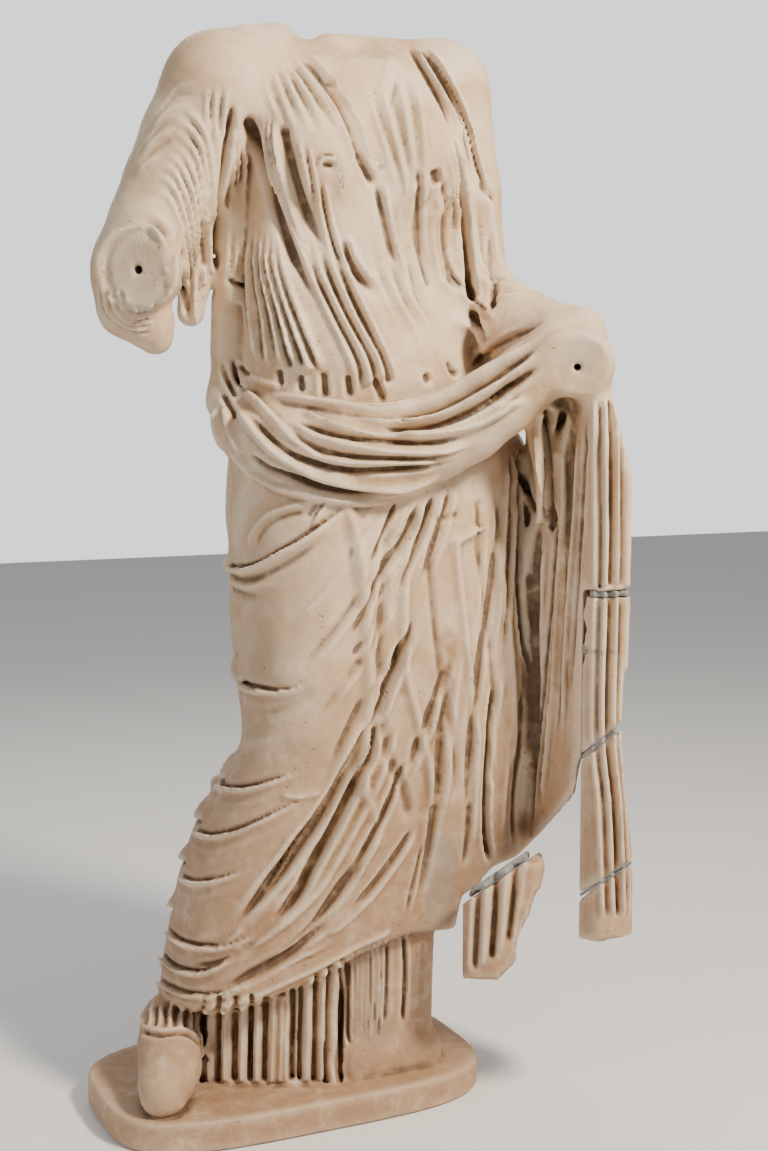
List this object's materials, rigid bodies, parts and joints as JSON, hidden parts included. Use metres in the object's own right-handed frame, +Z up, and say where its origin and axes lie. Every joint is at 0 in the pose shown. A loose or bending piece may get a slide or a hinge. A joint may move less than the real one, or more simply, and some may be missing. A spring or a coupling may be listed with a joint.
{
  "type": "marble statue",
  "caption": "Headless draped standing figure in weathered marble on a low base, both arms broken, a mantle rolled across the hips and falling from the left forearm, mended with mortar",
  "frame": {"origin": "Centre of the base's flat underside, on the floor", "axes": "+Z up, -Y the figure's front, +X towards the figure's left arm"},
  "size_m": [0.8258, 0.5398, 1.7402],
  "materials": {
    "marble": "weathered fine marble, warm cream with ochre stains in the recesses",
    "mortar": "dull grey mortar"
  },
  "bodies": {
    "root": {"statue": "marble", "fall_fragment_upper": "marble", "fall_fragment_middle": "marble", "fall_fragment_lower": "marble", "hem_fragment": "marble", "mortar_upper": "mortar", "mortar_middle": "mortar", "mortar_lower": "mortar", "mortar_hem": "mortar"}
  },
  "joints": []
}
